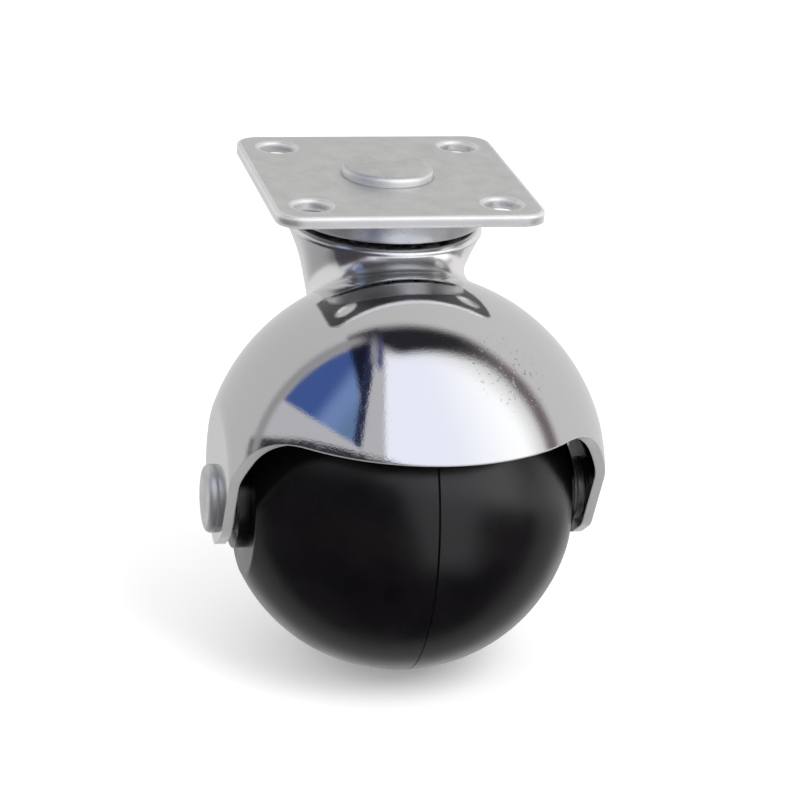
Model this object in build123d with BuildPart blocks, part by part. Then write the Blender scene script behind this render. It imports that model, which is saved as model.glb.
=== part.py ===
# Swivel plate castor: a ball wheel under a chromed hood, on a square screw-on plate.
# Millimetres. The origin is the centre of the plate's top face, +Z up.
# The swivel axis is Z, and the wheel's axle runs along X.
import os
from math import pi

from build123d import *

os.makedirs("parts", exist_ok=True)

# Mounting plate, stamped from flat sheet
PLATE_SIDE = 38.0
PLATE_THICKNESS = 1.6
PLATE_CORNER_RADIUS = 3.5
PLATE_EDGE_ROUND = 0.35
SCREW_SPACING = 27.0
SCREW_HOLE_DIAMETER = 5.3
SCREW_HOLE_ROUND = 0.4

# Kingpin, a solid rivet that holds the swivel bearing together
KINGPIN_DIAMETER = 8.0
KINGPIN_HEAD_DIAMETER = 13.0
KINGPIN_HEAD_HEIGHT = 1.5
KINGPIN_HEAD_ROUND = 0.8
KINGPIN_TAIL_DIAMETER = 6.0
KINGPIN_PEEN_DIAMETER = 9.6
KINGPIN_PEEN_HEIGHT = 1.7

# Pressed races and the two rings of bearing balls
RACE_THICKNESS = 1.2
RACE_CLEARANCE = 0.04
BALL_PLAY = 0.2
LOWER_BALL_DIAMETER = 3.2
LOWER_BALL_INSET = 1.1
LOWER_RACE_WALL = 0.9
LOWER_RACE_LIP = 1.8
UPPER_BALL_DIAMETER = 4.0
UPPER_BALL_INSET = 0.7
UPPER_RACE_INSET = 1.1
UPPER_RACE_FLARE = 1.7
RACE_RIM_ROUND = 0.5
RACE_CORNER_ROUND = 1.0

# Hood, one deep-drawn sheet: bearing seat, waisted neck, dome and two ears
SHEET = 1.4
SEAT_GROOVE = 0.3
SWIVEL_GAP = 0.9
KINGPIN_CLEARANCE = 0.08
RIM_INSET = 1.0
RIM_ROUND = 1.0
WAIST_INSET = 2.5
WAIST_DEPTH = 7.8
NECK_FOOT_INSET = 0.6
NECK_BLEND = 3.2
DOME_CROWN_DEPTH = 8.6
DOME_CLEARANCE = 2.0
DOME_FORWARD = 2.3
DOME_RISE = 4.0
FRONT_LIP_RISE = 15.9
FRONT_LIP_FORWARD = 15.8
FRONT_LIP_RADIUS = 8.0
REAR_LIP_RISE = 11.0
REAR_LIP_BACK = 10.5
REAR_LIP_RADIUS = 6.0
EAR_RADIUS = 6.4
EAR_FRONT_RADIUS = 4.0
EAR_FRONT_FORWARD = 4.2
EAR_BLEND = 5.0

# Ball wheel, moulded in two halves that meet at the middle
WHEEL_DIAMETER = 50.0
WHEEL_BEHIND_SWIVEL = 6.0
WHEEL_FACE_INSET = 2.5
WHEEL_WALL = 3.2
WHEEL_FACE_ROUND = 1.0
HUB_DIAMETER = 14.0
HUB_HEIGHT = 1.5
RIB_COUNT = 6
RIB_THICKNESS = 1.8
SEAM_STEP = 1.2
SEAM_CLEARANCE = 0.05
SEAM_CHAMFER = 0.15

# Axle rivet, bushes and spacer washers
AXLE_DIAMETER = 5.0
AXLE_HEAD_DIAMETER = 9.6
AXLE_HEAD_HEIGHT = 1.3
AXLE_HEAD_ROUND = 0.8
BUSH_DIAMETER = 8.0
BUSH_LENGTH = 14.0
RUNNING_CLEARANCE = 0.05
SPACER_DIAMETER = 9.0
SPACER_THICKNESS = 1.0
SPACER_PLAY = 0.05

# Heights down the swivel axis, from the plate's underside to the foot of the bearing
underside = -PLATE_THICKNESS
upper_web = underside - RACE_THICKNESS
upper_ball_radius = UPPER_BALL_DIAMETER / 2
upper_ball_height = upper_web - RACE_CLEARANCE - upper_ball_radius
seat_floor = upper_ball_height - upper_ball_radius - RACE_CLEARANCE
rim_top = seat_floor + SEAT_GROOVE
upper_race_rim = rim_top + SWIVEL_GAP
seat_underside = rim_top - SHEET
lower_ball_radius = LOWER_BALL_DIAMETER / 2
lower_ball_height = seat_underside - RACE_CLEARANCE - lower_ball_radius
lower_web = lower_ball_height - lower_ball_radius - RACE_CLEARANCE
lower_race_foot = lower_web - RACE_THICKNESS
waist_height = rim_top - WAIST_DEPTH

# Radii and reaches that more than one piece uses
kingpin_radius = KINGPIN_DIAMETER / 2
tail_radius = KINGPIN_TAIL_DIAMETER / 2
lower_ring = kingpin_radius + LOWER_BALL_INSET + lower_ball_radius
upper_ring = lower_ring + lower_ball_radius + UPPER_BALL_INSET + upper_ball_radius
race_rim_radius = upper_ring + upper_ball_radius + UPPER_RACE_INSET
race_top_radius = race_rim_radius + UPPER_RACE_FLARE
rim_radius = upper_ring + upper_ball_radius + RIM_INSET
waist_radius = rim_radius - WAIST_INSET
axle_radius = AXLE_DIAMETER / 2
bush_radius = BUSH_DIAMETER / 2
hub_radius = HUB_DIAMETER / 2
wheel_radius = WHEEL_DIAMETER / 2
wheel_face = wheel_radius - WHEEL_FACE_INSET
hub_reach = wheel_face + HUB_HEIGHT
ear_inside = hub_reach + SPACER_THICKNESS + 2 * SPACER_PLAY
ear_face = ear_inside + SHEET

# Each ring holds as many balls as fit in it
lower_ball_count = int(2 * pi * lower_ring / (LOWER_BALL_DIAMETER + BALL_PLAY))
upper_ball_count = int(2 * pi * upper_ring / (UPPER_BALL_DIAMETER + BALL_PLAY))

# The wheel's centre lies a little behind the dome's centre and below it
dome_radius = wheel_radius + DOME_CLEARANCE + SHEET
dome_reach = wheel_radius - WHEEL_BEHIND_SWIVEL + DOME_FORWARD
dome_centre = Vector(0, -dome_reach, -DOME_CROWN_DEPTH - dome_radius)
wheel_centre = dome_centre + Vector(0, DOME_FORWARD, -DOME_RISE)
neck_foot_radius = dome_radius - dome_reach - NECK_FOOT_INSET
axle_axis = Axis(wheel_centre, (1, 0, 0))
side_plane = Plane(origin=wheel_centre, x_dir=(0, 1, 0), z_dir=(1, 0, 0))
wheel_plane = Plane(origin=wheel_centre, x_dir=(1, 0, 0), z_dir=(0, -1, 0))
FROM_CORNER = (Align.MIN, Align.MIN)


# Mounting plate: a rounded square with four screw holes and one hole for the kingpin.
# The punch leaves a soft edge round the top face and at the mouth of each screw hole.
with BuildPart() as mounting_plate:
    with BuildSketch(Plane.XY.offset(underside)):
        RectangleRounded(PLATE_SIDE, PLATE_SIDE, PLATE_CORNER_RADIUS)
    extrude(amount=PLATE_THICKNESS)
    fillet(mounting_plate.faces().sort_by(Axis.Z)[-1].edges(), radius=PLATE_EDGE_ROUND)
    with GridLocations(SCREW_SPACING, SCREW_SPACING, 2, 2):
        Hole(SCREW_HOLE_DIAMETER / 2)
    screw_mouths = mounting_plate.faces().sort_by(Axis.Z)[-1].edges().filter_by(GeomType.CIRCLE)
    screw_mouths = screw_mouths.filter_by(lambda mouth: mouth.radius < SCREW_HOLE_DIAMETER)
    fillet(screw_mouths, radius=SCREW_HOLE_ROUND)
    Hole(kingpin_radius)
mounting_plate.part.label = "mounting_plate"
export_step(mounting_plate.part, "parts/mounting_plate.step")


# Kingpin: a broad low head on the plate, a shank through the bearing, and a thinner tail
# that is peened over under the lower race.
with BuildPart() as kingpin:
    with BuildSketch(Plane.XZ):
        with BuildLine():
            Polyline(
                (0, KINGPIN_HEAD_HEIGHT),
                (KINGPIN_HEAD_DIAMETER / 2, KINGPIN_HEAD_HEIGHT),
                (KINGPIN_HEAD_DIAMETER / 2, 0),
                (kingpin_radius, 0),
                (kingpin_radius, lower_web),
                (tail_radius, lower_web),
                (tail_radius, lower_race_foot),
                (KINGPIN_PEEN_DIAMETER / 2, lower_race_foot),
            )
            TangentArc(
                (0, lower_race_foot - KINGPIN_PEEN_HEIGHT),
                (KINGPIN_PEEN_DIAMETER / 2, lower_race_foot),
                tangent=(1, 0),
            )
            Line((0, lower_race_foot - KINGPIN_PEEN_HEIGHT), (0, KINGPIN_HEAD_HEIGHT))
        make_face()
    revolve(axis=Axis.Z)
    fillet(kingpin.edges().sort_by(Axis.Z)[-1], radius=KINGPIN_HEAD_ROUND)
kingpin.part.label = "kingpin"
export_step(kingpin.part, "parts/kingpin.step")


# Upper race: a pressed dish under the plate. Its tapered skirt keeps the balls in, and the
# corner inside the skirt is rounded for them to run in.
with BuildPart() as upper_race:
    with BuildSketch(Plane.XZ) as upper_race_section:
        skirt_top = (race_top_radius - RACE_THICKNESS, upper_web)
        skirt_foot = (race_rim_radius, upper_race_rim)
        with BuildLine():
            Polyline(
                (kingpin_radius, underside),
                (race_top_radius, underside),
                skirt_foot,
                (race_rim_radius - RACE_THICKNESS, upper_race_rim),
                skirt_top,
                (kingpin_radius, upper_web),
                close=True,
            )
        make_face()
        fillet(upper_race_section.vertices().sort_by_distance(skirt_top)[0], radius=RACE_CORNER_ROUND)
        fillet(upper_race_section.vertices().sort_by_distance(skirt_foot)[0], radius=RACE_RIM_ROUND)
    revolve(axis=Axis.Z)
upper_race.part.label = "upper_race"
export_step(upper_race.part, "parts/upper_race.step")


# Lower race: a cupped washer on the kingpin's shoulder, with a lip round its balls.
with BuildPart() as lower_race:
    with BuildSketch(Plane.XZ) as lower_race_section:
        lip_inside = lower_ring + lower_ball_radius + RACE_CLEARANCE
        lip_outside = lip_inside + LOWER_RACE_WALL
        lip_corner = (lip_inside, lower_web)
        foot_corner = (lip_outside, lower_race_foot)
        with BuildLine():
            Polyline(
                (tail_radius, lower_web),
                lip_corner,
                (lip_inside, lower_web + LOWER_RACE_LIP),
                (lip_outside, lower_web + LOWER_RACE_LIP),
                foot_corner,
                (tail_radius, lower_race_foot),
                close=True,
            )
        make_face()
        fillet(lower_race_section.vertices().sort_by_distance(lip_corner)[0], radius=RACE_RIM_ROUND)
        fillet(lower_race_section.vertices().sort_by_distance(foot_corner)[0], radius=LOWER_RACE_WALL)
    revolve(axis=Axis.Z)
lower_race.part.label = "lower_race"
export_step(lower_race.part, "parts/lower_race.step")


# Bearing balls: a ring of larger ones between plate and hood carries the load, and a ring of
# smaller ones under the hood's seat keeps it from lifting.
for number, place in enumerate(PolarLocations(upper_ring, upper_ball_count), start=1):
    with BuildPart(Plane.XY.offset(upper_ball_height)) as upper_ball:
        with Locations(place):
            Sphere(upper_ball_radius)
    upper_ball.part.label = f"upper_ball_{number:02d}"
    export_step(upper_ball.part, f"parts/upper_ball_{number:02d}.step")

for number, place in enumerate(PolarLocations(lower_ring, lower_ball_count), start=1):
    with BuildPart(Plane.XY.offset(lower_ball_height)) as lower_ball:
        with Locations(place):
            Sphere(lower_ball_radius)
    lower_ball.part.label = f"lower_ball_{number:02d}"
    export_step(lower_ball.part, f"parts/lower_ball_{number:02d}.step")


# Hood section: the half outline of the bearing seat and the waisted neck, down to the level
# of the dome's centre, and the same outline one sheet further in.
with BuildSketch(Plane.XZ) as neck_outside:
    with BuildLine():
        Polyline((0, dome_centre.Z), (0, rim_top), (rim_radius - RIM_ROUND, rim_top))
        RadiusArc(
            (rim_radius - RIM_ROUND, rim_top),
            (rim_radius, rim_top - RIM_ROUND),
            RIM_ROUND,
        )
        neck_side = Line((neck_foot_radius, dome_centre.Z), (waist_radius, waist_height))
        TangentArc(neck_side @ 1, (rim_radius, rim_top - RIM_ROUND), tangent=neck_side % 1)
        Line((0, dome_centre.Z), neck_side @ 0)
    make_face()

with BuildSketch(Plane.XZ) as neck_inside:
    add(neck_outside.sketch_local)
    mirror(about=Plane.YZ)
    offset(amount=-SHEET)
    split(bisect_by=Plane.YZ, keep=Keep.TOP)

# Hood blanks: neck and dome as one body, with a rounded hollow where they meet and soft-edged
# flats where the axle's heads sit, and the space inside it.
with BuildPart() as hood_blank:
    add(neck_outside.sketch)
    revolve(axis=Axis.Z)
    with Locations(dome_centre):
        Sphere(dome_radius, rotation=(0, 90, 0))
    fillet(hood_blank.edges().filter_by(GeomType.BSPLINE), radius=NECK_BLEND)
    with Locations(dome_centre):
        Box(2 * ear_face, 4 * dome_radius, 4 * dome_radius, mode=Mode.INTERSECT)
    fillet(hood_blank.faces().sort_by(Axis.X)[0].edges(), radius=EAR_BLEND)
    fillet(hood_blank.faces().sort_by(Axis.X)[-1].edges(), radius=EAR_BLEND)

with BuildPart() as hood_space:
    add(neck_inside.sketch)
    revolve(axis=Axis.Z)
    with Locations(dome_centre):
        Sphere(dome_radius - SHEET, rotation=(0, 90, 0))
    fillet(hood_space.edges().filter_by(GeomType.BSPLINE), radius=NECK_BLEND + SHEET)
    with Locations(dome_centre):
        Box(2 * ear_inside, 4 * dome_radius, 4 * dome_radius, mode=Mode.INTERSECT)
    fillet(hood_space.faces().sort_by(Axis.X)[0].edges(), radius=EAR_BLEND - SHEET)
    fillet(hood_space.faces().sort_by(Axis.X)[-1].edges(), radius=EAR_BLEND - SHEET)

# Hood from the side: a level lip in front and a lower one behind, which sweep down into two
# ears about the axle, each round below and fuller at its front corner.
with BuildSketch(side_plane.offset(-dome_radius)) as hood_outline:
    front_corner = (-FRONT_LIP_FORWARD, FRONT_LIP_RISE)
    rear_corner = (REAR_LIP_BACK, REAR_LIP_RISE)
    with BuildLine():
        CenterArc((0, 0), EAR_RADIUS, 0, 360)
        CenterArc((-EAR_FRONT_FORWARD, 0), EAR_FRONT_RADIUS, 0, 360)
        Polyline(
            front_corner,
            (-FRONT_LIP_FORWARD, -wheel_centre.Z),
            (REAR_LIP_BACK, -wheel_centre.Z),
            rear_corner,
        )
    make_hull()
    with Locations((-2 * dome_radius, FRONT_LIP_RISE)):
        Rectangle(2 * dome_radius, -wheel_centre.Z - FRONT_LIP_RISE, align=FROM_CORNER)
    with Locations((0, REAR_LIP_RISE)):
        Rectangle(2 * dome_radius, -wheel_centre.Z - REAR_LIP_RISE, align=FROM_CORNER)
    fillet(hood_outline.vertices().sort_by_distance(front_corner)[0], radius=FRONT_LIP_RADIUS)
    fillet(hood_outline.vertices().sort_by_distance(rear_corner)[0], radius=REAR_LIP_RADIUS)

with BuildPart() as hood_trimmings:
    with BuildSketch(side_plane.offset(-dome_radius)):
        Rectangle(6 * dome_radius, 4 * dome_radius)
        add(hood_outline.sketch_local, mode=Mode.SUBTRACT)
    extrude(amount=2 * dome_radius)

# Hood: the sheet between blank and space, trimmed to the side outline, with the track that the
# upper balls run in, the kingpin's hole and the axle's holes.
with BuildPart() as hood:
    add(hood_blank.part)
    add(hood_space.part, mode=Mode.SUBTRACT)
    add(hood_trimmings.part, mode=Mode.SUBTRACT)
    with Locations((0, 0, upper_ball_height)):
        Torus(upper_ring, upper_ball_radius + RACE_CLEARANCE, mode=Mode.SUBTRACT)
    Hole(kingpin_radius + KINGPIN_CLEARANCE)
    with BuildSketch(side_plane.offset(-dome_radius)):
        Circle(axle_radius)
    extrude(amount=2 * dome_radius, mode=Mode.SUBTRACT)
hood.part.label = "hood"
export_step(hood.part, "parts/hood.step")


# Axle: a rivet through both ears, with a low rounded head at each end.
with BuildPart() as axle:
    with BuildSketch(wheel_plane):
        with Locations((-ear_face, 0)):
            Rectangle(2 * ear_face, axle_radius, align=FROM_CORNER)
        with Locations((-ear_face - AXLE_HEAD_HEIGHT, 0), (ear_face, 0)):
            Rectangle(AXLE_HEAD_HEIGHT, AXLE_HEAD_DIAMETER / 2, align=FROM_CORNER)
    revolve(axis=axle_axis)
    for head in (axle.faces().sort_by(Axis.X)[0], axle.faces().sort_by(Axis.X)[-1]):
        fillet(head.edges(), radius=AXLE_HEAD_ROUND)
axle.part.label = "axle"
export_step(axle.part, "parts/axle.step")


# Wheel shell: one half of the ball, a moulded shell that is open at the middle of the wheel and
# has a flat face with a rounded rim on its side.
with BuildPart() as wheel_shell:
    with BuildSketch(wheel_plane) as shell_section:
        Circle(wheel_radius)
        Rectangle(wheel_face, wheel_radius, align=FROM_CORNER, mode=Mode.INTERSECT)
        face_rim = shell_section.vertices().sort_by(Axis.X)[-2:].sort_by(Axis.Y)[-1]
        fillet(face_rim, radius=WHEEL_FACE_ROUND)
    revolve(axis=axle_axis)
    with BuildSketch(wheel_plane):
        Circle(wheel_radius - WHEEL_WALL)
        Rectangle(wheel_face - WHEEL_WALL, wheel_radius, align=FROM_CORNER, mode=Mode.INTERSECT)
    revolve(axis=axle_axis, mode=Mode.SUBTRACT)

# Ribs inside the shell, from the hub out into the wall.
with BuildPart() as wheel_ribs:
    with BuildSketch(side_plane):
        with PolarLocations(wheel_radius / 2, RIB_COUNT):
            Rectangle(wheel_radius, RIB_THICKNESS)
    extrude(amount=wheel_face - WHEEL_WALL / 2)
    with Locations(wheel_centre):
        Sphere(wheel_radius - WHEEL_WALL / 2, mode=Mode.INTERSECT)

# Wheel core: shell, ribs and a hub that stands proud of the flat face. The edge where two such
# halves meet is chamfered, which leaves a fine line round the ball.
with BuildPart() as wheel_core:
    add(wheel_shell.part)
    add(wheel_ribs.part)
    with BuildSketch(side_plane):
        Circle(hub_radius)
    extrude(amount=hub_reach)
    with BuildSketch(side_plane):
        Circle(bush_radius)
    extrude(amount=hub_reach, mode=Mode.SUBTRACT)
    chamfer(wheel_core.faces().sort_by(Axis.X)[0].outer_wire().edges(), length=SEAM_CHAMFER)

# Wheel halves: a step on the left half's wall sits inside a step in the right half's wall.
seam_radius = wheel_radius - WHEEL_WALL / 2
with BuildPart() as wheel_right_half:
    add(wheel_core.part)
    with BuildSketch(side_plane):
        Circle(seam_radius + SEAM_CLEARANCE)
        Circle(seam_radius - WHEEL_WALL, mode=Mode.SUBTRACT)
    extrude(amount=SEAM_STEP + SEAM_CLEARANCE, mode=Mode.SUBTRACT)
wheel_right_half.part.label = "wheel_right_half"
export_step(wheel_right_half.part, "parts/wheel_right_half.step")

with BuildPart() as wheel_left_half:
    add(mirror(wheel_core.part, about=Plane.YZ))
    with BuildSketch(side_plane):
        Circle(seam_radius)
        Circle(wheel_radius - WHEEL_WALL, mode=Mode.SUBTRACT)
    extrude(amount=SEAM_STEP)
wheel_left_half.part.label = "wheel_left_half"
export_step(wheel_left_half.part, "parts/wheel_left_half.step")


# Bushes: a plain sleeve in each half's hub, which turns on the axle. Spacer washers: one on
# the axle between each hub and its ear.
for side, facing in (("left", -1), ("right", 1)):
    outward = Plane(origin=wheel_centre, x_dir=(0, 1, 0), z_dir=(facing, 0, 0))
    with BuildPart() as bush:
        with BuildSketch(outward.offset(hub_reach - BUSH_LENGTH)):
            Circle(bush_radius)
            Circle(axle_radius + RUNNING_CLEARANCE, mode=Mode.SUBTRACT)
        extrude(amount=BUSH_LENGTH)
    bush.part.label = f"bush_{side}"
    export_step(bush.part, f"parts/bush_{side}.step")

    with BuildPart() as spacer:
        with BuildSketch(outward.offset(hub_reach + SPACER_PLAY)):
            Circle(SPACER_DIAMETER / 2)
            Circle(axle_radius + RUNNING_CLEARANCE, mode=Mode.SUBTRACT)
        extrude(amount=SPACER_THICKNESS)
    spacer.part.label = f"spacer_{side}"
    export_step(spacer.part, f"parts/spacer_{side}.step")
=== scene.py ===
import math

import bpy
from mathutils import Matrix, Vector


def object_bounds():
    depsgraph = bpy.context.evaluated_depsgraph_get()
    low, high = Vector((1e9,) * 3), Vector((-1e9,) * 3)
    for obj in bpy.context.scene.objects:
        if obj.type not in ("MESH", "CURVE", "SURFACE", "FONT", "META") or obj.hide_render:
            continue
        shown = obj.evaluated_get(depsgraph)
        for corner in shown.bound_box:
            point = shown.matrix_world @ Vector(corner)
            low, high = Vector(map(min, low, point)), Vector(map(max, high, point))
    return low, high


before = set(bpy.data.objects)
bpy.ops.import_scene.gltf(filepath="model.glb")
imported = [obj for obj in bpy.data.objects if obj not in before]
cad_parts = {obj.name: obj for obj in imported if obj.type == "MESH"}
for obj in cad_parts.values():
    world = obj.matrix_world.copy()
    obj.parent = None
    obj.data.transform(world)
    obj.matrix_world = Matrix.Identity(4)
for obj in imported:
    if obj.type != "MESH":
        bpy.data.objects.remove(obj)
cad_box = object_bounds()


# Camera: a long lens a little above the plate and to the left of the front, turned so that
# the castor leans slightly to the right, as it does in the photograph.
def point_camera():
    azimuth = math.radians(-13.85)
    elevation = math.radians(21.51)
    roll = math.radians(3.79)
    lens_mm = 135.0
    distance = 0.43761
    side_shift = 0.00365
    rise_shift = -0.00418
    sensor_mm = 36.0
    nearest_seen = 0.01
    aim = Vector((0.0, 0.0, -0.030))

    towards = Vector((
        math.sin(azimuth) * math.cos(elevation),
        -math.cos(azimuth) * math.cos(elevation),
        math.sin(elevation),
    ))
    level = Vector((math.cos(azimuth), math.sin(azimuth), 0.0))
    upright = towards.cross(level)
    right = math.cos(roll) * level + math.sin(roll) * upright
    up = math.cos(roll) * upright - math.sin(roll) * level

    camera = bpy.data.objects.new("camera", bpy.data.cameras.new("camera"))
    camera.data.lens = lens_mm
    camera.data.sensor_width = sensor_mm
    camera.data.clip_start = nearest_seen
    camera.matrix_world = Matrix.Translation(
        aim + distance * towards + side_shift * right + rise_shift * up
    ) @ Matrix((right, up, towards)).transposed().to_4x4()
    bpy.context.scene.collection.objects.link(camera)
    bpy.context.scene.camera = camera
    return towards, right, up


TOWARDS, RIGHT, UP = point_camera()


# Mounting plate: a stamped square of steel with a soft edge and four punched screw holes.
# It is zinc plated, dull and faintly mottled, with fine scratches from handling.
MM = 0.001


class Finish:
    """A material whose colour, roughness and bump are built from noise in the piece's own space."""

    ray_count = 6

    def __init__(self, name, colour, metallic, roughness):
        self.material = bpy.data.materials.new(name)
        self.material.use_nodes = True
        self.tree = self.material.node_tree
        self.shader = self.tree.nodes["Principled BSDF"]
        self.shader.inputs["Base Color"].default_value = (*colour, 1.0)
        self.shader.inputs["Metallic"].default_value = metallic
        self.shader.inputs["Roughness"].default_value = roughness
        coordinates = self.tree.nodes.new("ShaderNodeTexCoord")
        self.place = coordinates.outputs["Object"]
        self.facing = coordinates.outputs["Normal"]
        self.surface = None

    def link(self, source, target):
        self.tree.links.new(source, target)

    def noise(self, size_mm, detail=3.0, stretch=(1.0, 1.0, 1.0), turn=0.0):
        mapping = self.tree.nodes.new("ShaderNodeMapping")
        mapping.inputs["Rotation"].default_value = (0.0, 0.0, math.radians(turn))
        mapping.inputs["Scale"].default_value = stretch
        self.link(self.place, mapping.inputs["Vector"])
        grain = self.tree.nodes.new("ShaderNodeTexNoise")
        grain.inputs["Scale"].default_value = 1.0 / (size_mm * MM)
        grain.inputs["Detail"].default_value = detail
        self.link(mapping.outputs["Vector"], grain.inputs["Vector"])
        return grain.outputs["Fac"]

    def ramp(self, source, stops):
        ramp = self.tree.nodes.new("ShaderNodeValToRGB")
        steps = ramp.color_ramp.elements
        while len(steps) < len(stops):
            steps.new(0.5)
        for step, (position, value) in zip(steps, stops):
            step.position = position
            step.color = (*value, 1.0) if isinstance(value, tuple) else (value, value, value, 1.0)
        self.link(source, ramp.inputs["Fac"])
        return ramp.outputs["Color"]

    def blend(self, kind, first, second):
        mix = self.tree.nodes.new("ShaderNodeMix")
        mix.data_type = "RGBA"
        mix.blend_type = kind
        mix.inputs[0].default_value = 1.0
        self.link(first, mix.inputs[6])
        self.link(second, mix.inputs[7])
        return mix.outputs[2]

    def colour_from(self, colour):
        self.link(colour, self.shader.inputs["Base Color"])

    def roughness_from(self, value):
        self.link(value, self.shader.inputs["Roughness"])

    def bump(self, height, depth_mm, strength):
        bump = self.tree.nodes.new("ShaderNodeBump")
        bump.inputs["Strength"].default_value = strength
        bump.inputs["Distance"].default_value = depth_mm * MM
        self.link(height, bump.inputs["Height"])
        if self.surface is not None:
            self.link(self.surface, bump.inputs["Normal"])
        self.surface = bump.outputs["Normal"]
        self.link(self.surface, self.shader.inputs["Normal"])

    def soften_edges(self, radius_mm):
        """Rounds the light along the edges, and returns where they are, from 0 to 1."""
        bevel = self.tree.nodes.new("ShaderNodeBevel")
        bevel.samples = self.ray_count
        bevel.inputs["Radius"].default_value = radius_mm * MM
        self.surface = bevel.outputs["Normal"]
        flat = self.tree.nodes.new("ShaderNodeNewGeometry").outputs["Normal"]
        return self.fade(self.vector("DOT_PRODUCT", self.surface, flat, "Value"), 0.998, 0.95)

    def shade_in_corners(self, reach_mm):
        """Painted shade: brown-grey in the tightest corners, white in the open."""
        corner_shade = (0.22, 0.20, 0.18)
        unshaded = (1.0, 1.0, 1.0)
        corners = self.tree.nodes.new("ShaderNodeAmbientOcclusion")
        corners.samples = self.ray_count
        corners.inputs["Distance"].default_value = reach_mm * MM
        return self.ramp(corners.outputs["AO"], [(0.40, corner_shade), (0.72, unshaded)])

    def vector(self, operation, first, second, result="Vector"):
        """Vector arithmetic: a fixed Vector is set on its socket, anything else is linked."""
        node = self.tree.nodes.new("ShaderNodeVectorMath")
        node.operation = operation
        for source, socket in ((first, node.inputs[0]), (second, node.inputs[1])):
            if isinstance(source, Vector):
                socket.default_value = source
            elif source is not None:
                self.link(source, socket)
        return node.outputs[result]

    def fade(self, value, start, end, low=0.0, high=1.0):
        """From low at start to high at end."""
        ramp = self.tree.nodes.new("ShaderNodeMapRange")
        ramp.inputs["From Min"].default_value = start
        ramp.inputs["From Max"].default_value = end
        ramp.inputs["To Min"].default_value = low
        ramp.inputs["To Max"].default_value = high
        self.link(value, ramp.inputs["Value"])
        return ramp.outputs["Result"]

    def swap(self, under, over, mask):
        """One fixed colour or number over another, where the mask is 1."""
        mix = self.tree.nodes.new("ShaderNodeMix")
        mix.data_type = "RGBA"
        self.link(mask, mix.inputs[0])
        self.link(under, mix.inputs[6])
        mix.inputs[7].default_value = (*over, 1.0) if isinstance(over, tuple) else (over, over, over, 1.0)
        return mix.outputs[2]

    def cover(self, piece):
        piece.data.materials.clear()
        piece.data.materials.append(self.material)


def zinc_plate(name, light, dark, roughness, soft_mm, side_highlight=None, underside_shade=None):
    """Dull zinc: faint clouds, fine pits, hairline scratches, painted shade in the corners, and edges
    painted brighter as a painted highlight.

    The sides can be painted lighter as a painted highlight, and the underside darker as painted shade."""
    edge_highlight_zinc = (0.90, 0.90, 0.895)
    edge_highlight_roughness = 0.34
    body_metallic = 0.85
    edge_highlight_metallic = 0.30
    downwards = Vector((0.0, 0.0, -1.0))
    finish = Finish(name, light, 1.0, roughness)
    edges = finish.soften_edges(soft_mm)
    clouds = finish.noise(3.5, detail=4.0)
    specks = finish.noise(0.45, detail=2.0)
    scratches = finish.noise(0.5, detail=1.0, stretch=(14.0, 0.7, 1.0), turn=32.0)
    skin = finish.blend(
        "MULTIPLY",
        finish.ramp(clouds, [(0.35, dark), (0.65, light)]),
        finish.ramp(specks, [(0.25, 0.82), (0.42, 1.0)]),
    )
    # Painted shade, darkening the colour in the tightest corners
    skin = finish.blend("MULTIPLY", skin, finish.shade_in_corners(0.6))
    down = finish.vector("DOT_PRODUCT", finish.facing, downwards, "Value")
    # Sides painted lighter, a painted highlight
    if side_highlight:
        skin = finish.swap(skin, side_highlight, finish.fade(down, -0.75, -0.35))
    # Underside painted dark, a painted shade
    if underside_shade:
        skin = finish.swap(skin, underside_shade, finish.fade(down, 0.6, 0.95))
    dullness = finish.ramp(clouds, [(0.3, roughness + 0.08), (0.7, roughness - 0.06)])
    # The edges are painted brighter, a painted highlight along them, and made less metallic and smoother
    finish.colour_from(finish.swap(skin, edge_highlight_zinc, edges))
    finish.roughness_from(finish.swap(dullness, edge_highlight_roughness, edges))
    metal = finish.fade(edges, 0.0, 1.0, body_metallic, edge_highlight_metallic)
    finish.link(metal, finish.shader.inputs["Metallic"])
    finish.bump(specks, 0.012, 0.5)
    finish.bump(finish.ramp(scratches, [(0.2, 0.0), (0.3, 1.0)]), 0.006, 0.5)
    return finish


# The plate's sides are painted lighter, a painted highlight, and its underside darker, a painted shade
plate_finish = zinc_plate(
    "plate_zinc", (0.575, 0.58, 0.572), (0.545, 0.55, 0.542), 0.42, soft_mm=0.8,
    side_highlight=(0.88, 0.88, 0.87), underside_shade=(0.20, 0.195, 0.19),
)
plate_finish.cover(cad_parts["mounting_plate"])


# Kingpin: a solid steel rivet. Its broad low head stands on the plate, satin from the press
# that closed it, and its shank runs down through the bearing to the peened foot.
# The kingpin's sides are painted lighter, a painted highlight
kingpin_finish = zinc_plate(
    "kingpin_steel", (0.56, 0.562, 0.555), (0.51, 0.512, 0.505), 0.40, soft_mm=0.5,
    side_highlight=(0.90, 0.90, 0.89),
)
kingpin_finish.cover(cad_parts["kingpin"])


# Races: pressed dishes in bright, slightly blue zinc. The upper one is welded under the plate,
# and the kingpin's foot holds the lower one inside the neck.
race_finish = zinc_plate("race_zinc", (0.76, 0.775, 0.785), (0.69, 0.705, 0.715), 0.32, soft_mm=0.3)
race_finish.cover(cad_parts["upper_race"])
race_finish.cover(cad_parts["lower_race"])


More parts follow.
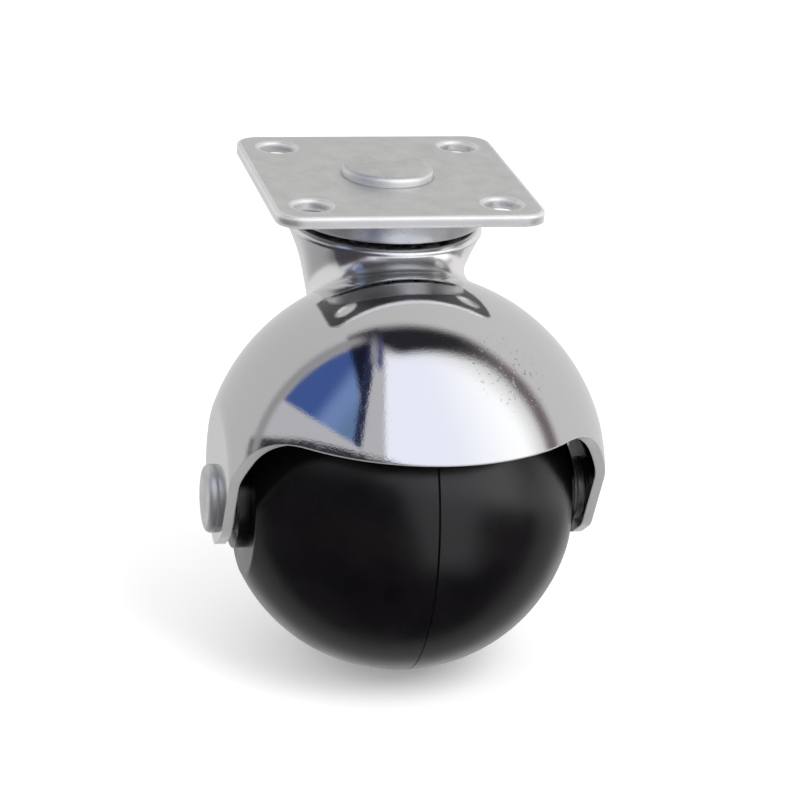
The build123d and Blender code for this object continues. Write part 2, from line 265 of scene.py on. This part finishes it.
# Bearing balls: ground steel, loose in their two rings between the races and the hood's seat.
# A film of dark grease lies on them, thicker in places.
ball_finish = Finish("greased_steel", (0.05, 0.045, 0.04), 0.6, 0.35)
grease = ball_finish.noise(1.2)
thin_grease = (0.11, 0.105, 0.10)
thick_grease = (0.03, 0.026, 0.02)
ball_finish.colour_from(ball_finish.ramp(grease, [(0.35, thin_grease), (0.6, thick_grease)]))
ball_finish.roughness_from(ball_finish.ramp(grease, [(0.3, 0.25), (0.7, 0.55)]))
for name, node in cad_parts.items():
    if name.startswith(("upper_ball_", "lower_ball_")):
        ball_finish.cover(node)


# Hood: one deep-drawn steel sheet, polished and chrome plated. The plating is pitted in a few
# places, with hairline scratches from use.
def chrome_plate():
    dome_centre = Vector((0.0, -21.3, -37.0)) * MM
    pitted_spot = Vector((9.5, -37.0, -16.0)) * MM
    upwards = Vector((0.0, 0.0, 1.0))
    level = Vector((1.0, 1.0, 0.0))
    chrome = (0.60, 0.605, 0.61)
    pitted_steel = (0.30, 0.29, 0.28)
    neck_highlight_chrome = (0.90, 0.90, 0.90)
    neck_roughness = 0.27
    shorn_steel = (0.80, 0.80, 0.79)
    shorn_roughness = 0.45
    shorn_metallic = 0.6
    finish = Finish("hood_chrome", chrome, 1.0, 0.05)
    height = finish.vector("DOT_PRODUCT", finish.place, upwards, "Value")

    # Pits in the plating, in one small patch
    pitting = finish.blend(
        "MULTIPLY",
        finish.ramp(finish.noise(0.50, detail=2.0), [(0.63, 0.0), (0.68, 1.0)]),
        finish.fade(finish.vector("DISTANCE", finish.place, pitted_spot, "Value"), 6.5 * MM, 2.5 * MM),
    )

    # The shorn edge of the sheet: it faces across the dome, and it is satin, not polished
    outwards = finish.vector("NORMALIZE", finish.vector("SUBTRACT", finish.place, dome_centre), None)
    squareness = finish.tree.nodes.new("ShaderNodeMath")
    squareness.operation = "ABSOLUTE"
    finish.link(finish.vector("DOT_PRODUCT", outwards, finish.facing, "Value"), squareness.inputs[0])
    edges = finish.soften_edges(0.30)
    shorn = finish.blend("LIGHTEN", finish.fade(squareness.outputs[0], 0.75, 0.60), edges)
    shorn = finish.blend("MULTIPLY", shorn, finish.fade(height, -24.0 * MM, -25.0 * MM))

    # The neck is painted whiter than the dome, a painted highlight, and it is duller
    from_axis = finish.vector("LENGTH", finish.vector("MULTIPLY", finish.place, level), None, "Value")
    neck = finish.fade(from_axis, 18.0 * MM, 15.0 * MM)

    skin = finish.ramp(pitting, [(0.0, chrome), (1.0, pitted_steel)])
    skin = finish.swap(skin, neck_highlight_chrome, neck)
    dullness = finish.blend(
        "ADD",
        finish.ramp(finish.noise(5.0), [(0.3, 0.03), (0.7, 0.09)]),
        finish.ramp(pitting, [(0.0, 0.0), (1.0, 0.35)]),
    )
    dullness = finish.swap(dullness, neck_roughness, neck)
    finish.colour_from(finish.swap(skin, shorn_steel, shorn))
    finish.roughness_from(finish.swap(dullness, shorn_roughness, shorn))
    finish.link(finish.fade(shorn, 0.0, 1.0, 1.0, shorn_metallic), finish.shader.inputs["Metallic"])

    # Slow waves from the draw, the polish's fine grain, then the pits and the scratches
    finish.bump(finish.noise(6.0, detail=1.0), 0.05, 0.2)
    finish.bump(finish.noise(0.30, detail=2.0), 0.0045, 1.0)
    finish.bump(finish.ramp(pitting, [(0.0, 1.0), (1.0, 0.0)]), 0.03, 0.5)
    scratches = finish.noise(0.7, detail=1.0, stretch=(1.0, 16.0, 1.0), turn=20.0)
    finish.bump(finish.ramp(scratches, [(0.22, 0.0), (0.30, 1.0)]), 0.004, 0.2)
    return finish


chrome_plate().cover(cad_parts["hood"])


# Axle: a steel rivet through both ears, its heads low, round and zinc plated. A thin spacer
# washer lies between each ear and the wheel.
axle_finish = zinc_plate("axle_zinc", (0.66, 0.665, 0.66), (0.60, 0.605, 0.60), 0.40, soft_mm=0.5)
for name in ("axle", "spacer_left", "spacer_right"):
    axle_finish.cover(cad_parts[name])


# Wheel: a ball moulded in two halves of satin black plastic, with a fine line where they meet.
# The skin has a faint grain, and is a little duller and greyer in patches.
def black_moulding():
    finish = Finish("wheel_black", (0.003, 0.0025, 0.003), 0.0, 0.26)
    fresh_black = (0.002, 0.0016, 0.002)
    worn_black = (0.005, 0.004, 0.0045)
    grain = finish.noise(0.35, detail=3.0)
    wear = finish.noise(7.0, detail=4.0)
    finish.colour_from(finish.ramp(wear, [(0.3, fresh_black), (0.75, worn_black)]))
    finish.roughness_from(finish.ramp(wear, [(0.3, 0.22), (0.75, 0.32)]))
    finish.bump(grain, 0.01, 0.5)
    return finish


wheel_finish = black_moulding()
for name in ("wheel_left_half", "wheel_right_half"):
    wheel_finish.cover(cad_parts[name])


# Bushes: plain sleeves of natural acetal, pressed into the wheel's hub, which run on the axle.
# They are off-white, and a little yellower in patches.
bush_finish = Finish("bush_acetal", (0.70, 0.69, 0.65), 0.0, 0.45)
yellowed = (0.66, 0.64, 0.58)
off_white = (0.74, 0.73, 0.69)
bush_finish.colour_from(bush_finish.ramp(bush_finish.noise(2.0), [(0.35, yellowed), (0.65, off_white)]))
bush_finish.bump(bush_finish.noise(0.6), 0.01, 0.4)
for name in ("bush_left", "bush_right"):
    bush_finish.cover(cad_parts[name])


# Studio: a pale floor that the ball stands on, plain soft light, and the room that the chrome
# mirrors: a light grey backdrop, a dark gap, and in front a bright window and a blue wall.
def lay_floor():
    lowest = cad_box[0][2]
    reach = 6.0
    glow_to_camera = 0.25
    mesh = bpy.data.meshes.new("floor")
    corners = [(-reach, -reach), (reach, -reach), (reach, reach), (-reach, reach)]
    mesh.from_pydata([(x, y, lowest) for x, y in corners], [], [(0, 1, 2, 3)])
    floor = bpy.data.objects.new("floor", mesh)
    floor.visible_glossy = False
    bpy.context.scene.collection.objects.link(floor)

    # White paper, which glows a little for the camera alone
    finish = Finish("floor_paper", (0.90, 0.90, 0.90), 0.0, 0.9)
    glow = finish.tree.nodes.new("ShaderNodeEmission")
    added = finish.tree.nodes.new("ShaderNodeAddShader")
    light_path = finish.tree.nodes.new("ShaderNodeLightPath")
    seen = finish.tree.nodes.new("ShaderNodeMath")
    seen.operation = "MULTIPLY"
    seen.inputs[1].default_value = glow_to_camera
    finish.link(light_path.outputs["Is Camera Ray"], seen.inputs[0])
    finish.link(seen.outputs[0], glow.inputs["Strength"])
    finish.link(finish.shader.outputs["BSDF"], added.inputs[0])
    finish.link(glow.outputs["Emission"], added.inputs[1])
    finish.link(added.outputs[0], finish.tree.nodes["Material Output"].inputs["Surface"])
    finish.cover(floor)


class Room:
    """The world's picture, laid out as a mirror ball shows it to someone at the photograph's place.

    Places on the ball run from -1 to 1 across (right) and up. All of them are fixed directions."""

    def __init__(self):
        world = bpy.data.worlds.new("room")
        world.use_nodes = True
        bpy.context.scene.world = world
        self.tree = world.node_tree
        self.tree.nodes.clear()
        self.heading = self.tree.nodes.new("ShaderNodeTexCoord").outputs["Generated"]
        half_way = self.vector("ADD", self.heading, TOWARDS)
        self.place = self.vector("NORMALIZE", half_way.outputs["Vector"]).outputs["Vector"]

    def vector(self, operation, source, constant=None):
        node = self.tree.nodes.new("ShaderNodeVectorMath")
        node.operation = operation
        self.tree.links.new(source, node.inputs[0])
        if constant is not None:
            node.inputs[1].default_value = constant
        return node

    def fade(self, direction, start, end, place=None):
        """0 before start and 1 past end, along a direction across the ball."""
        across, up, towards = direction
        axis = across * RIGHT + up * UP + towards * TOWARDS
        ramp = self.tree.nodes.new("ShaderNodeMapRange")
        ramp.interpolation_type = "SMOOTHSTEP"
        ramp.inputs["From Min"].default_value = min(start, end)
        ramp.inputs["From Max"].default_value = max(start, end)
        if start > end:
            ramp.inputs["To Min"].default_value = 1.0
            ramp.inputs["To Max"].default_value = 0.0
        along = self.vector("DOT_PRODUCT", place or self.place, axis)
        self.tree.links.new(along.outputs["Value"], ramp.inputs["Value"])
        return ramp.outputs["Result"]

    def where(self, *masks):
        """1 only where all the masks are 1."""
        result = masks[0]
        for mask in masks[1:]:
            product = self.tree.nodes.new("ShaderNodeMath")
            product.operation = "MULTIPLY"
            self.tree.links.new(result, product.inputs[0])
            self.tree.links.new(mask, product.inputs[1])
            result = product.outputs[0]
        return result

    def paint(self, under, over, mask):
        """One colour over another, where the mask is 1."""
        mix = self.tree.nodes.new("ShaderNodeMix")
        mix.data_type = "RGBA"
        for colour, socket in ((under, 6), (over, 7)):
            if isinstance(colour, tuple):
                mix.inputs[socket].default_value = (*colour, 1.0)
            else:
                self.tree.links.new(colour, mix.inputs[socket])
        self.tree.links.new(mask, mix.inputs[0])
        return mix.outputs[2]


def light_room():
    room = Room()
    across = (1.0, 0.0, 0.0)
    up = (0.0, 1.0, 0.0)
    towards = (0.0, -0.091, 0.996)

    # Backdrop behind the castor: lighter to the right, darker low down
    left_grey = (0.72, 0.71, 0.71)
    right_grey = (0.84, 0.825, 0.825)
    low_grey = (0.36, 0.35, 0.36)
    backdrop = room.paint(left_grey, right_grey, room.fade(across, -0.7, 0.7, room.heading))
    low_down = room.where(room.fade(up, -0.02, -0.20), room.fade((0.0, 0.0, 1.0), 0.24, 0.42))
    backdrop = room.paint(backdrop, low_grey, low_down)

    # Window, dimmer towards its frame, with a pale wall to its left
    blue_sky = (1.31, 1.34, 1.50)
    white_sky = (1.66, 1.66, 1.66)
    window_frame = (0.95, 0.93, 0.92)
    pale_wall = (0.70, 0.695, 0.73)
    window = room.paint(blue_sky, white_sky, room.fade((0.94, 0.34, 0.0), 0.22, 0.62))
    window = room.paint(window_frame, window, room.fade(towards, 0.69, 0.80))
    wall = room.paint(pale_wall, window, room.fade(across, -0.10, -0.075))

    # Blue wall: brightest in the middle, with a dark post and a dark edge at its right
    deep_blue = (0.075, 0.14, 0.42)
    bright_blue = (0.24, 0.36, 0.70)
    grey_blue = (0.18, 0.29, 0.53)
    post_black = (0.013, 0.016, 0.04)
    edge_blue = (0.03, 0.035, 0.09)
    slant = (0.8, -0.6, 0.0)
    blue = room.paint(deep_blue, bright_blue, room.fade(slant, -0.54, -0.45))
    blue = room.paint(blue, grey_blue, room.fade(slant, -0.43, -0.34))
    above_sill = room.fade((0.513, 0.858, 0.0), -0.006, 0.020)
    inside_frame = room.fade(towards, 0.675, 0.71)
    wall = room.paint(wall, blue, room.where(room.fade(across, -0.200, -0.225), above_sill, inside_frame))
    post = room.where(
        room.fade((1.0, 0.233, 0.0), -0.138, -0.103), room.fade(across, -0.145, -0.165),
        room.fade((1.0, -0.43, 0.0), -0.330, -0.360),
    )
    wall = room.paint(wall, post_black, post)
    edge_lean = (1.0, -0.144, 0.0)
    edge = room.where(room.fade(edge_lean, -0.274, -0.254), room.fade(edge_lean, -0.212, -0.230), above_sill)
    wall = room.paint(wall, edge_blue, edge)

    # Below the window: a dark room, with soft light low on the right
    dark_room = (0.045, 0.040, 0.050)
    lamp_light = (0.86, 0.84, 0.88)
    lamp_side = room.fade((0.97, 0.24, 0.0), -0.01, 0.10)
    high_lamp = room.where(lamp_side, room.fade(across, 0.68, 0.54), room.fade(up, -0.14, -0.02))
    low_lamp = room.where(lamp_side, room.fade(across, 0.50, 0.38), room.fade(up, -0.48, -0.34))
    below = room.paint(dark_room, lamp_light, high_lamp)
    below = room.paint(below, lamp_light, low_lamp)
    front = room.paint(below, wall, room.fade(up, 0.158, 0.186))
    front = room.paint(front, wall, room.fade((0.22, 0.975, 0.0), 0.048, 0.072))

    # Dark gap between the front of the room and the backdrop: broad above, thin on the right and
    # faint on the left
    thin_grey = (0.25, 0.215, 0.225)
    faint_grey = (0.44, 0.425, 0.435)
    gap_black = (0.03, 0.028, 0.034)
    picture = room.paint(backdrop, front, room.fade(towards, 0.615, 0.655))
    high = room.fade(up, 0.0, 0.1)
    thin = room.where(
        room.fade(towards, 0.610, 0.660), room.fade(towards, 0.722, 0.675),
        room.fade(across, -0.25, 0.05), high,
    )
    picture = room.paint(picture, thin_grey, thin)
    faint = room.where(
        room.fade(towards, 0.635, 0.665), room.fade(towards, 0.705, 0.675),
        room.fade(across, -0.10, -0.25), high,
    )
    picture = room.paint(picture, faint_grey, faint)
    broad = room.where(
        room.fade(towards, 0.595, 0.665), room.fade((0.15, -0.091, 0.996), 0.785, 0.735),
        room.fade(across, -0.30, -0.12), room.fade(across, 0.50, 0.24),
        room.fade((0.476, 1.0, 0.0), 0.52, 0.60),
    )
    picture = room.paint(picture, gap_black, broad)

    # Light strip and a dark blue line, where the pale wall meets the window
    strip_grey = (0.40, 0.40, 0.44)
    line_blue = (0.10, 0.11, 0.27)
    below_ceiling = room.fade(up, 0.70, 0.60)
    strip = room.where(room.fade(across, -0.168, -0.148), room.fade(across, -0.118, -0.138), below_ceiling)
    picture = room.paint(picture, strip_grey, room.where(strip, room.fade(up, 0.50, 0.56)))
    line = room.where(room.fade(across, -0.134, -0.120), room.fade(across, -0.094, -0.108), below_ceiling)
    picture = room.paint(picture, line_blue, room.where(line, room.fade(up, 0.48, 0.54)))

    # Only gloss shows the room: matt surfaces get an even light, and the camera sees white
    even_light = (0.85, 0.85, 0.85)
    white = (1.0, 1.0, 1.0)
    light_path = room.tree.nodes.new("ShaderNodeLightPath")
    seen = room.paint(even_light, picture, light_path.outputs["Is Glossy Ray"])
    seen = room.paint(seen, white, light_path.outputs["Is Camera Ray"])
    background = room.tree.nodes.new("ShaderNodeBackground")
    output = room.tree.nodes.new("ShaderNodeOutputWorld")
    room.tree.links.new(seen, background.inputs["Color"])
    room.tree.links.new(background.outputs["Background"], output.inputs["Surface"])


def hang_lamp(name, place, size, power):
    """A square lamp aimed at the castor's middle, and kept out of reflections."""
    castor_middle = Vector((0.0, -0.019, -0.035))
    lamp = bpy.data.objects.new(name, bpy.data.lights.new(name, "AREA"))
    lamp.data.size = size
    lamp.data.energy = power
    lamp.location = place
    lamp.rotation_euler = (castor_middle - lamp.location).to_track_quat("-Z", "Y").to_euler()
    lamp.visible_glossy = False
    bpy.context.scene.collection.objects.link(lamp)


lay_floor()
light_room()
hang_lamp("key_lamp", Vector((0.35, -0.50, 0.60)), size=0.50, power=4.0)
hang_lamp("fill_lamp", Vector((-0.60, -0.40, 0.35)), size=0.60, power=1.5)
bpy.context.scene.view_settings.view_transform = "Standard"
